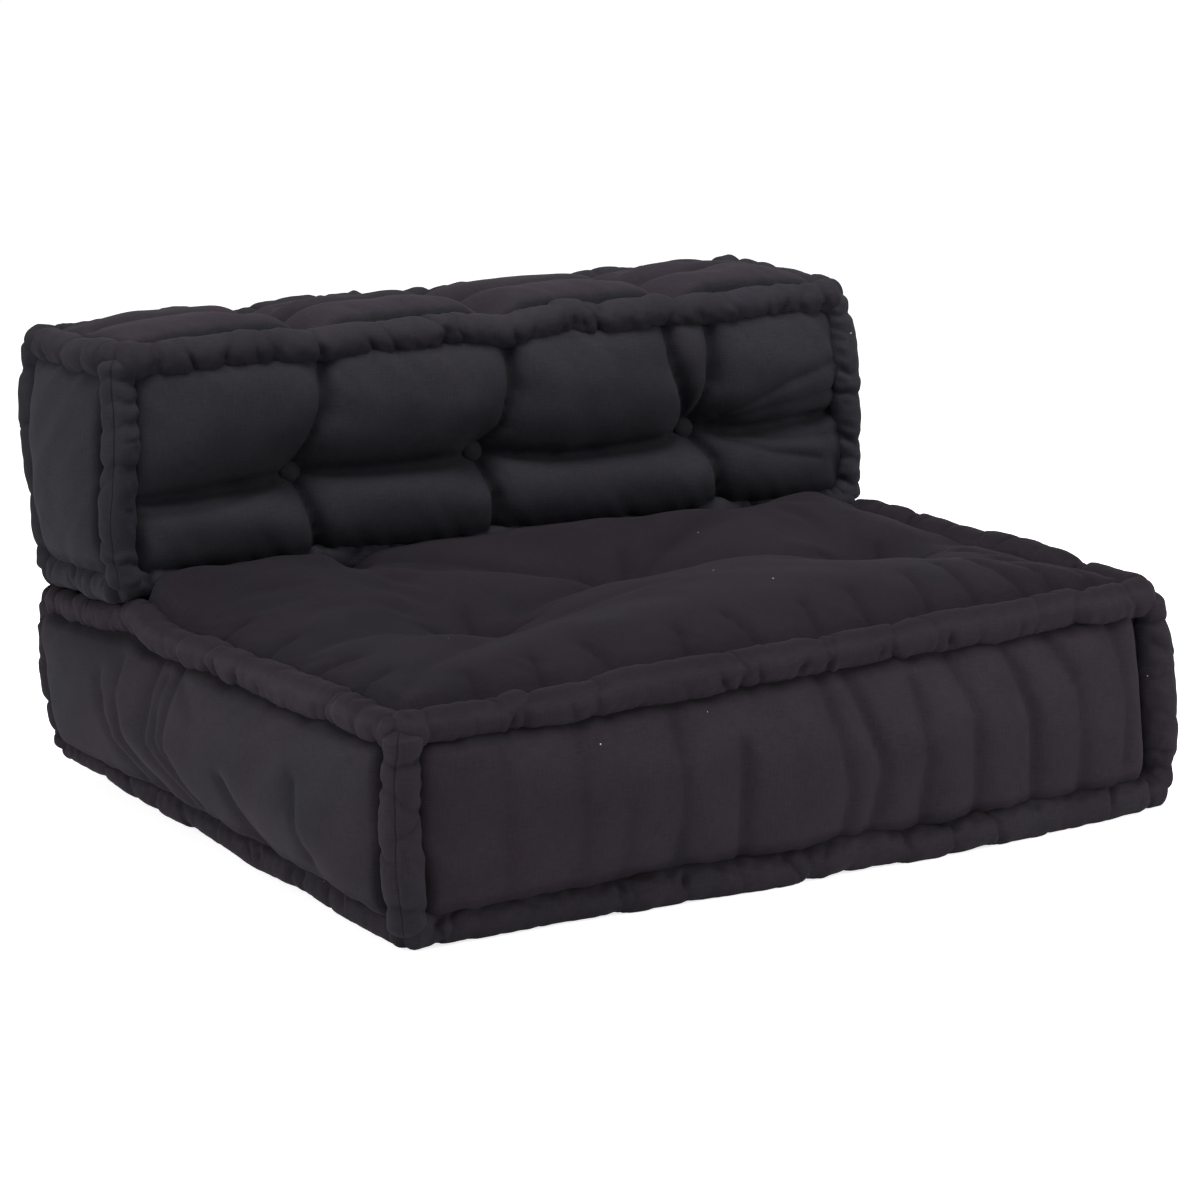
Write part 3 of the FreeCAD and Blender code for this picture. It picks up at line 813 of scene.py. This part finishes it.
def sockets(group, inputs, outputs):
    for way, pairs in (("INPUT", inputs), ("OUTPUT", outputs)):
        for name, kind in pairs:
            group.interface.new_socket(name=name, in_out=way, socket_type="NodeSocket" + kind)


def math_node(tree, operation, *values, clamp=False):
    node = tree.nodes.new("ShaderNodeMath")
    node.operation = operation
    node.use_clamp = clamp
    for socket, value in zip(node.inputs, values):
        if isinstance(value, (int, float)):
            socket.default_value = value
        else:
            tree.links.new(value, socket)
    return node.outputs[0]


def noise_node(nodes, scale, detail, dimensions="3D"):
    noise = nodes.new("ShaderNodeTexNoise")
    noise.noise_dimensions = dimensions
    noise.inputs["Scale"].default_value = scale
    noise.inputs["Detail"].default_value = detail
    return noise


def colour_mix(nodes, **colours):
    mix = nodes.new("ShaderNodeMix")
    mix.data_type = "RGBA"
    for name, colour in colours.items():
        mix.inputs[name].default_value = colour
    return mix


def cloth_group():
    """Plain-woven cotton: slubby threads both ways, faded patches, a stitched line along the rolls, lint, and
    each point's painted light and shade.
    """
    group = bpy.data.node_groups.new("plain_weave", "ShaderNodeTree")
    sockets(
        group,
        [("Cool", "Color"), ("Warm", "Color"), ("Warmth", "Float"), ("Painted_Shading", "Float")],
        [("Color", "Color"), ("Height", "Float")],
    )
    nodes, links = group.nodes, group.links
    enter, leave = nodes.new("NodeGroupInput"), nodes.new("NodeGroupOutput")

    def work_out(operation, *values, clamp=False):
        return math_node(group, operation, *values, clamp=clamp)

    uv = nodes.new("ShaderNodeUVMap")
    uv.uv_map = "cloth"
    coords = nodes.new("ShaderNodeTexCoord")

    def threads(scale):
        mapping = nodes.new("ShaderNodeMapping")
        mapping.inputs["Scale"].default_value = scale
        noise = noise_node(nodes, 1.0, 2.0, "2D")
        links.new(uv.outputs["UV"], mapping.inputs["Vector"])
        links.new(mapping.outputs["Vector"], noise.inputs["Vector"])
        return noise.outputs["Fac"]

    warp, weft = threads((THREAD_LONG, THREAD_FINE, 1)), threads((THREAD_FINE, THREAD_LONG, 1))
    weave = work_out("ADD", warp, weft)
    patches = noise_node(nodes, 9.0, 5.0)
    patches.inputs["Roughness"].default_value = 0.6
    links.new(coords.outputs["Object"], patches.inputs["Vector"])
    level = work_out("MULTIPLY_ADD", weave, 0.4, 0.6)
    fade = work_out("MULTIPLY_ADD", patches.outputs["Fac"], 0.5, 0.75)
    level = work_out("MULTIPLY", level, fade)
    # times each point's painted light and shade
    level = work_out("MULTIPLY", level, enter.outputs["Painted_Shading"])

    # the stitched line along the crest of the upright rolls
    split = nodes.new("ShaderNodeSeparateXYZ")
    links.new(uv.outputs["UV"], split.inputs[0])
    wander = noise_node(nodes, 14.0, 2.0, "1D")
    links.new(split.outputs["X"], wander.inputs["W"])
    crest = UPRIGHT_CLOTH + math.pi * ROLL_RADIUS - LINE_WANDER / 2
    place = work_out("SUBTRACT", split.outputs["Y"], crest)
    place = work_out("SUBTRACT", place, work_out("MULTIPLY", wander.outputs["Fac"], LINE_WANDER))
    away = work_out("DIVIDE", work_out("ABSOLUTE", place), LINE_HALF_WIDTH)
    line = work_out("SUBTRACT", 1.0, away, clamp=True)
    level = work_out("MULTIPLY", level, work_out("SUBTRACT", 1.0, work_out("MULTIPLY", line, 0.6)))

    blend = colour_mix(nodes)
    links.new(enter.outputs["Warmth"], blend.inputs["Factor"])
    links.new(enter.outputs["Cool"], blend.inputs["A"])
    links.new(enter.outputs["Warm"], blend.inputs["B"])
    dyed = nodes.new("ShaderNodeVectorMath")
    dyed.operation = "SCALE"
    links.new(blend.outputs["Result"], dyed.inputs[0])
    links.new(level, dyed.inputs["Scale"])

    specks = nodes.new("ShaderNodeTexVoronoi")
    specks.inputs["Scale"].default_value = LINT_SPACING
    links.new(coords.outputs["Object"], specks.inputs["Vector"])
    lint = work_out("LESS_THAN", specks.outputs["Distance"], LINT_SIZE)
    dusted = colour_mix(nodes, B=LINT_COLOUR)
    links.new(lint, dusted.inputs["Factor"])
    links.new(dyed.outputs["Vector"], dusted.inputs["A"])
    links.new(dusted.outputs["Result"], leave.inputs["Color"])
    height = work_out("SUBTRACT", weave, work_out("MULTIPLY", line, 1.2))
    links.new(height, leave.inputs["Height"])
    return group


def plain_material(name, roughness, specular):
    """A new material, its node tree and its shader."""
    material = bpy.data.materials.new(name)
    material.use_nodes = True
    shader = material.node_tree.nodes["Principled BSDF"]
    shader.inputs["Roughness"].default_value = roughness
    shader.inputs["Specular IOR Level"].default_value = specular
    return material, material.node_tree, shader


def cotton(name, group):
    """The black cotton, between a cool and a warm black by each point's warmth (its dye, with painted tints
    by facing), and darker or paler by its painted light and shade.
    """
    material, tree, shader = plain_material(name, COTTON_ROUGHNESS, COTTON_SPECULAR)
    nodes, links = tree.nodes, tree.links
    shader.inputs["Sheen Weight"].default_value = COTTON_SHEEN
    shader.inputs["Sheen Roughness"].default_value = COTTON_SHEEN_ROUGHNESS
    weave = nodes.new("ShaderNodeGroup")
    weave.node_tree = group
    weave.inputs["Cool"].default_value = (*COOL_BLACK, 1)
    weave.inputs["Warm"].default_value = (*WARM_BLACK, 1)
    for socket in ("Warmth", "Painted_Shading"):
        value = nodes.new("ShaderNodeAttribute")
        value.attribute_name = socket.lower()
        links.new(value.outputs["Fac"], weave.inputs[socket])
    bump = nodes.new("ShaderNodeBump")
    bump.inputs["Strength"].default_value = WEAVE_BUMP
    bump.inputs["Distance"].default_value = WEAVE_BUMP_HEIGHT
    links.new(weave.outputs["Color"], shader.inputs["Base Color"])
    links.new(weave.outputs["Height"], bump.inputs["Height"])
    links.new(bump.outputs["Normal"], shader.inputs["Normal"])
    return material


def fibre(name, dark, light):
    """Felted or spun fibre, for the hidden stuffing, twine and washers."""
    material, tree, shader = plain_material(name, FIBRE_ROUGHNESS, FIBRE_SPECULAR)
    nodes, links = tree.nodes, tree.links
    coords = nodes.new("ShaderNodeTexCoord")
    noise = noise_node(nodes, 160, 4)
    links.new(coords.outputs["Object"], noise.inputs["Vector"])
    mix = colour_mix(nodes, A=(*dark, 1), B=(*light, 1))
    links.new(noise.outputs["Fac"], mix.inputs["Factor"])
    links.new(mix.outputs["Result"], shader.inputs["Base Color"])
    return material


plain_weave = cloth_group()
seat_cotton = cotton("seat_cotton", plain_weave)
back_cotton = cotton("back_cotton", plain_weave)
wadding = fibre("wadding", (0.7, 0.68, 0.64), (0.85, 0.83, 0.8))
felt = fibre("felt", (0.15, 0.15, 0.15), (0.24, 0.24, 0.24))
twine = fibre("twine", (0.03, 0.03, 0.03), (0.06, 0.06, 0.06))


# Pieces

WADDING_DEPTH = 16 * MM
SEAT_CLEAR, BACK_CLEAR = 1.5 * MM, 1 * MM
PAINTED_LIGHT_RIGHTWARD = 0.15  # painted light: the cloth is painted paler towards the right, by this much to the metre
# painted light: a few rolls painted paler than the others
ROLL_PAINTED_LIGHT = {"seat_top_left_roll": 1.0, "seat_front_left_roll": 1.0, "back_front_right_roll": 1.08}
OTHER_ROLL_PAINTED_LIGHT = 0.92
# each cushion's rolls have their own dye warmth; the top rolls get a painted warm tint besides, as the tops
# do
ROLL_WARMTH, TOP_ROLL_WARMTH = {"seat": 0.6, "back": 0.1}, 0.2
ROLL_UNEVEN = {"seat": 0.12, "back": 0.06}
BUTTON_WARMTH = {"seat": 1.0, "back": 0.0}
BUTTON_SIDES = 40
BUTTON_PUCKERS, BUTTON_PUCKER = 9, 0.025
BUTTON_RADIUS = 14 * MM
# radius and height of a covered button, from its crown to its turned-under rim, in millimetres
BUTTON_PROFILE = [
    (0.0, 8.0), (3, 7.8), (6, 7.2), (9, 6.1), (11.5, 4.6), (13.2, 2.9), (13.9, 1.2), (13.4, 0.2), (11.5, 0.0),
]


def finish_piece(obj, cushion, material, nodes):
    """Settles a piece, gives it its material, parents it to its cushion's body, and hides the CAD parts it
    stands in for.
    """
    settle = {"seat": settle_seat, "back": settle_back}[cushion]
    set_points(obj, settle(get_points(obj)))
    obj.data.materials.clear()
    obj.data.materials.append(material)
    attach(obj, cushion + "_cushion")
    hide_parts(*nodes)


def pressed(co, clear):
    """Keeps the seat's points under the back that stands on it, and off the floor."""
    co = co.copy()
    y = co[:, 1]
    under = smoothstep(BACK_FRONT - 10 * MM, BACK_FRONT + 12 * MM, y)
    rise = np.where(y < BACK_FRONT - 10 * MM, 1, 40 * MM * (1 - under))
    co[:, 2] = np.minimum(co[:, 2], BACK_FOOT - clear + rise)
    co[:, 2] = np.maximum(co[:, 2], 0.5 * clear)
    return co


def mottle(places, seed):
    """Uneven dyeing, about -1 to 1."""
    rng = np.random.default_rng(seed)
    x, y, z = places.T
    return waves_2d(rng, x + 0.5 * z, y + 0.8 * z, 0.16)


def dye_and_shade_seat(obj, co, straight, shade, seed):
    """Painted shade darkens the seat's top below its sides, painted cool tints go where it faces left and on
    the top's left part, and the mottle is uneven dye.
    """
    x = co[:, 0]
    normals = get_normals(obj)
    top = smoothstep(0.2, 0.9, normals[:, 2])
    left = smoothstep(0.3, 0.9, -normals[:, 0])
    # painted tints: cooler where the cloth faces left, and on the left part of the top
    cool = 0.45 * left + 0.25 * top * smoothstep(0.1, -0.35, x)
    add_values(obj, "warmth", 0.95 - cool + 0.22 * mottle(straight, seed))
    # painted shade on the top, a little deeper at its left and right, painted light growing towards the
    # right, and the creases' and seams' painted shade
    top_shade = 0.49 + 0.05 * smoothstep(-0.1, -0.4, x) + 0.02 * smoothstep(0.2, 0.4, x)
    add_values(obj, "painted_shading", (1 - top * top_shade) * (1 + PAINTED_LIGHT_RIGHTWARD * x) * shade)


def dye_and_light_back(obj, co, straight, shade, seed, cover):
    """A painted warm tint goes on the back's top, painted light on its left end, most of all towards the
    rear, and the mottle is uneven dye.
    """
    normals = get_normals(obj)
    # a painted warm tint on the top's upward faces
    top = smoothstep(0.45, 0.9, normals[:, 2])
    top *= smoothstep(-5 * MM, 5 * MM, straight[:, 2] - cover.high[2] + 2 * MM)
    add_values(obj, "warmth", top + 0.12 * mottle(straight, seed))
    # painted light on the left end, more towards the rear, growing towards the right, and the creases' and
    # seams' painted shade
    left = smoothstep(0.3, 0.9, -normals[:, 0])
    pale = 1 + left * (0.06 + 0.16 * smoothstep(cover.mid[1] - 60 * MM, cover.high[1], co[:, 1]))
    add_values(obj, "painted_shading", (0.96 + PAINTED_LIGHT_RIGHTWARD * co[:, 0]) * pale * shade)


def make_cover(cushion, cover, creases, material, seed):
    """The stuffed and creased cover of a cushion, and the wadding inside it."""
    obj = cover.obj
    stuff(cover)
    filling = add_object(cushion + "_wadding", obj.data.copy())
    set_points(filling, get_points(obj) - get_normals(obj) * WADDING_DEPTH)
    straight = subdivide_cover(cover)
    panel_uv(obj, straight)
    shade = sculpt(cover, straight, creases, seed)
    co = get_points(obj)
    if cushion == "seat":
        co = pressed(co, SEAT_CLEAR)
        set_points(filling, pressed(get_points(filling), WADDING_DEPTH))
        dye_and_shade_seat(obj, co, straight, shade, seed)
    else:
        co[:, 2] = np.maximum(co[:, 2], BACK_FOOT + BACK_CLEAR)
        dye_and_light_back(obj, co, straight, shade, seed, cover)
    set_points(obj, co)
    panels = [f"{cushion}_{panel}_panel" for panel in PANELS]
    finish_piece(obj, cushion, material, panels)
    finish_piece(filling, cushion, wadding, [cushion + "_filling"])


def make_rolls(cushion, box, material, seed):
    """The gathered rolls on a cushion's twelve edges."""
    for count, ((one, other), (line, run)) in enumerate(edge_lines(box).items()):
        node = f"{cushion}_{one}_{other}_roll"
        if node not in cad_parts:
            continue
        name = node.replace("_roll", "_edge")
        roll, shade = roll_mesh(name, line, seed + count, OVERRUNS[run], EARS[run], run == 2)
        co = get_points(roll)
        # the cushion's dye warmth, with a painted warm tint on the top rolls
        warmth = ROLL_WARMTH[cushion] + TOP_ROLL_WARMTH * ("top" in node)
        add_values(roll, "warmth", warmth + ROLL_UNEVEN[cushion] * mottle(co, seed + count))
        # painted light and shade: some rolls painted paler than the rest, and all paler towards the right
        painted_shading = ROLL_PAINTED_LIGHT.get(node, OTHER_ROLL_PAINTED_LIGHT)
        # painted shade: the seat's rolls are darker where they face up, like its top
        if cushion == "seat":
            painted_shading = painted_shading * (1 - 0.4 * smoothstep(0.3, 0.95, get_normals(roll)[:, 2]))
        add_values(roll, "painted_shading", painted_shading * (1 + PAINTED_LIGHT_RIGHTWARD * co[:, 0]) * shade)
        finish_piece(roll, cushion, material, [node])


def lathe_cap(bm):
    """Lathes a covered button about the z axis, and returns its points."""
    others = set(bm.verts)
    outline = [bm.verts.new((radius * MM, 0, height * MM)) for radius, height in BUTTON_PROFILE]
    edges = [bm.edges.new(pair) for pair in zip(outline, outline[1:])]
    bmesh.ops.spin(
        bm, geom=outline + edges, cent=(0, 0, 0), axis=(0, 0, 1), angle=2 * math.pi, steps=BUTTON_SIDES,
    )
    bmesh.ops.remove_doubles(bm, verts=[v for v in bm.verts if v not in others], dist=TINY)
    bmesh.ops.holes_fill(bm, edges=[e for e in bm.edges if e.is_boundary])
    return [v for v in bm.verts if v not in others]


def button_caps(name, tufts, cushion, node, side, material):
    """Covered buttons with a few puckers in their cloth, one on each tuft."""
    axis, at_high = side
    low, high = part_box(node)
    foot, sign = (low[axis], 1) if at_high else (high[axis], -1)
    caps = bmesh.new()
    for a, b in tufts:
        for vert in lathe_cap(caps):
            x, y, height = vert.co
            waviness = math.sin(BUTTON_PUCKERS * math.atan2(y, x) + a)
            pucker = 1 + BUTTON_PUCKER * waviness * (math.hypot(x, y) / BUTTON_RADIUS) ** 3
            place = [a * MM + x * pucker, b * MM + y * pucker]
            place.insert(axis, foot + sign * height)
            vert.co = place
    bmesh.ops.recalc_face_normals(caps, faces=caps.faces)
    layer = caps.loops.layers.uv.new("cloth")
    first, second = [i for i in range(3) if i != axis]
    for face in caps.faces:
        for loop in face.loops:
            loop[layer].uv = (loop.vert.co[first], loop.vert.co[second])
    obj = mesh_object(name, caps)
    add_values(obj, "warmth", np.full(len(obj.data.vertices), BUTTON_WARMTH[cushion]))
    add_values(obj, "painted_shading", np.ones(len(obj.data.vertices)))
    finish_piece(obj, cushion, material, [node])


make_cover("seat", seat_cover(), SEAT_CREASES, seat_cotton, seed=31)
make_cover("back", back_cover(), BACK_CREASES, back_cotton, seed=32)
make_rolls("seat", SEAT, seat_cotton, seed=100)
make_rolls("back", BACK, back_cotton, seed=200)
button_caps("seat_button_caps", SEAT_TUFTS, "seat", "seat_buttons", TOP, seat_cotton)
button_caps("back_front_button_caps", BACK_TUFTS, "back", "back_front_buttons", FRONT, back_cotton)
button_caps("back_rear_button_caps", BACK_TUFTS, "back", "back_rear_buttons", REAR, back_cotton)
for node, material in (("seat_tuft_twines", twine), ("back_tuft_twines", twine), ("seat_tuft_washers", felt)):
    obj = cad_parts[node]
    obj.data.materials.clear()
    obj.data.materials.append(material)


# Camera, light and floor

CAMERA_TURN, CAMERA_RISE, CAMERA_TILT = math.radians(-32.0033), math.radians(12.2267), math.radians(-1.0336)
CAMERA_AIM = np.array([0, 0, 0.25])
CAMERA_RIGHT, CAMERA_DOWN, CAMERA_DISTANCE = 0.0124649, 0.0218264, 4.8325813
CAMERA_SENSOR = 36
CAMERA_FOCUS, PICTURE_WIDTH = 4250.056, 1200  # in pixels
CAMERA_REACH = 200
FLOOR_REACH = 40
FLOOR_COLOUR, FLOOR_GLOW = (0.9, 0.9, 0.9, 1), 0.8
WHITE = (1, 1, 1, 1)
WORLD_LIGHT, WORLD_SEEN = 0.22, 1.0
# place, target, size and power of each lamp
LAMPS = {
    "key": ((-0.4, -0.6, 3.6), (0, 0, 0.3), 1.6, 114),
    "fill": ((2.4, -2.4, 1.8), (0.2, 0, 0.2), 1.6, 46),
    "side": ((-3.2, 0.2, 1.3), (-0.4, 0, 0.25), 1.4, 36),
}


def add_camera():
    level = math.cos(CAMERA_RISE)
    back = np.array([math.sin(CAMERA_TURN) * level, -math.cos(CAMERA_TURN) * level, math.sin(CAMERA_RISE)])
    flat = np.array([math.cos(CAMERA_TURN), math.sin(CAMERA_TURN), 0.0])
    rise = np.cross(back, flat)
    right = flat * math.cos(CAMERA_TILT) + rise * math.sin(CAMERA_TILT)
    up = rise * math.cos(CAMERA_TILT) - flat * math.sin(CAMERA_TILT)
    eye = CAMERA_AIM + right * CAMERA_RIGHT - up * CAMERA_DOWN + back * CAMERA_DISTANCE
    data = bpy.data.cameras.new("camera")
    data.sensor_width = CAMERA_SENSOR
    data.lens = CAMERA_SENSOR * CAMERA_FOCUS / PICTURE_WIDTH
    data.clip_end = CAMERA_REACH
    obj = add_object("camera", data)
    obj.matrix_world = Matrix([[right[i], up[i], back[i], eye[i]] for i in range(3)] + [[0, 0, 0, 1]])
    bpy.context.scene.camera = obj


def add_lamp(name, place, target, size, power):
    data = bpy.data.lights.new(name, "AREA")
    data.shape = "SQUARE"
    data.size = size
    data.energy = power
    obj = add_object(name, data)
    obj.location = place
    obj.rotation_euler = (Vector(target) - Vector(place)).to_track_quat("-Z", "Y").to_euler()


def seen_directly(tree):
    """1 for rays from the camera, a mirror or a glass, 0 for light bouncing about."""
    path = tree.nodes.new("ShaderNodeLightPath")
    total = path.outputs["Is Camera Ray"]
    for name in ("Is Glossy Ray", "Is Transmission Ray"):
        total = math_node(tree, "MAXIMUM", total, path.outputs[name])
    return total


def add_floor():
    """A white floor that melts into the white behind it where it is seen."""
    bm = bmesh.new()
    bmesh.ops.create_grid(bm, x_segments=1, y_segments=1, size=FLOOR_REACH)
    floor = mesh_object("floor", bm, smooth=False)
    material, tree, shader = plain_material("floor", roughness=1.0, specular=0.0)
    shader.inputs["Base Color"].default_value = FLOOR_COLOUR
    shader.inputs["Emission Color"].default_value = WHITE
    glow = math_node(tree, "MULTIPLY", seen_directly(tree), FLOOR_GLOW)
    tree.links.new(glow, shader.inputs["Emission Strength"])
    floor.data.materials.append(material)


def add_world():
    """White where it is seen, and a soft light all around."""
    world = bpy.data.worlds.new("studio")
    bpy.context.scene.world = world
    world.use_nodes = True
    tree = world.node_tree
    background = tree.nodes["Background"]
    background.inputs["Color"].default_value = WHITE
    strength = tree.nodes.new("ShaderNodeMapRange")
    strength.inputs["To Min"].default_value = WORLD_LIGHT
    strength.inputs["To Max"].default_value = WORLD_SEEN
    tree.links.new(seen_directly(tree), strength.inputs["Value"])
    tree.links.new(strength.outputs["Result"], background.inputs["Strength"])


add_camera()
add_floor()
add_world()
for name, lamp in LAMPS.items():
    add_lamp(name, *lamp)
bpy.context.scene.view_settings.view_transform = "Standard"
